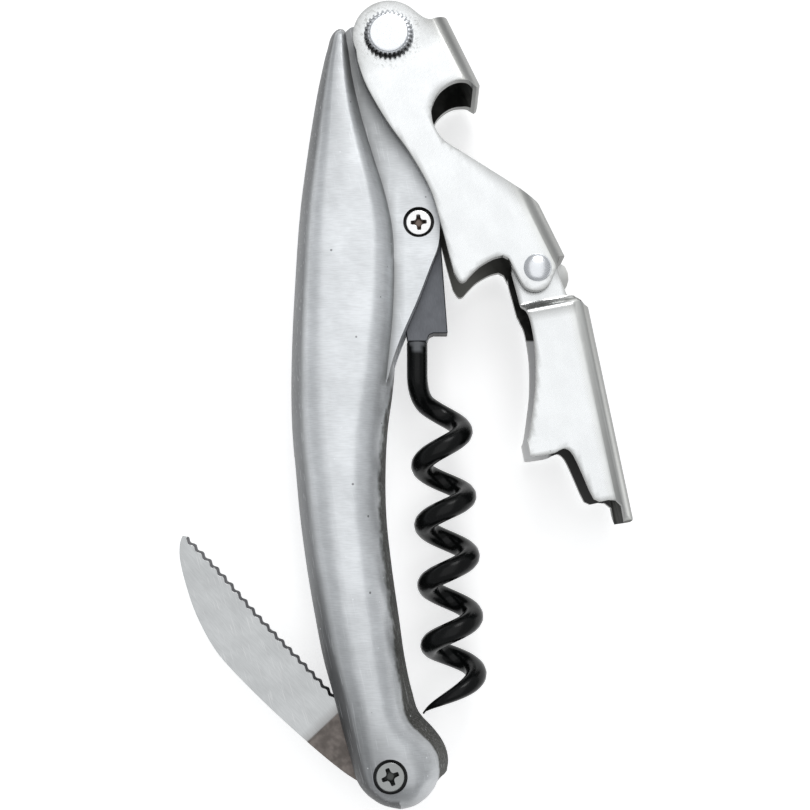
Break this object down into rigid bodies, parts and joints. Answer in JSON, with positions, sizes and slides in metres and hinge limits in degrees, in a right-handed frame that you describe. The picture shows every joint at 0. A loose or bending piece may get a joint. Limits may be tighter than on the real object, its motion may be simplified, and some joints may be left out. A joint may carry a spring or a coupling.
{
  "type": "double-hinged corkscrew",
  "caption": "Waiter's corkscrew with a curved two-shell metal handle, wire worm, serrated foil blade and a folding lever with two bottle-lip steps.",
  "frame": {"origin": "centre of the bounding box's base, where the tool lies on its back shell", "axes": "+Y up the handle towards the lever's pivot, +X towards the levers, +Z along the pivots, out of the pictured side"},
  "size_m": [0.065, 0.1162, 0.0148],
  "materials": {
    "cast_metal": "satin cast metal with fine crosswise brushing",
    "plated_plate": "satin plated steel plate",
    "plain_steel": "plain steel",
    "hub_steel": "dull dark grey steel",
    "coated_wire": "glossy black coating on steel wire"
  },
  "bodies": {
    "handle": {"front_shell": "cast_metal", "back_shell": "cast_metal", "lever_rivet": "plated_plate", "rivet_cap": "plated_plate", "lever_washer_front": "plain_steel", "lever_washer_back": "plain_steel", "worm_screw": "plain_steel", "worm_nut": "plain_steel", "worm_washer_front": "plain_steel", "worm_washer_back": "plain_steel", "blade_screw": "plain_steel", "blade_nut": "plain_steel", "blade_washer_front": "plain_steel", "blade_washer_back": "plain_steel", "back_spring": "plain_steel", "spring_pin": "plain_steel"},
    "lever": {"first_lever": "plated_plate", "step_rivet": "plated_plate"},
    "step_lever": {"second_lever": "plated_plate"},
    "screw_arm": {"worm": "coated_wire", "worm_hub": "hub_steel"},
    "foil_blade": {"blade": "plain_steel"}
  },
  "joints": [
    {"name": "lever_swing", "type": "hinge", "parent": "handle", "child": "lever", "pos_m": [-0.00216, 0.05279, 0.0074], "axis": [0, 0, 1], "range_deg": [0, 120]},
    {"name": "worm_swing", "type": "hinge", "parent": "handle", "child": "screw_arm", "pos_m": [0.00216, 0.0252, 0.0074], "axis": [0, 0, 1], "range_deg": [0, 90]},
    {"name": "step_fold", "type": "hinge", "parent": "lever", "child": "step_lever", "pos_m": [0.0192, 0.01792, 0.0074], "axis": [0, 0, 1], "range_deg": [-30, 2]},
    {"name": "blade_swing", "type": "hinge", "parent": "handle", "child": "foil_blade", "pos_m": [-0.00177, -0.05287, 0.0074], "axis": [0, 0, 1], "range_deg": [-29, 140]}
  ],
  "couplings": [
    {"joint": "worm_swing", "follows": "lever_swing", "ratio": 0.75}
  ]
}
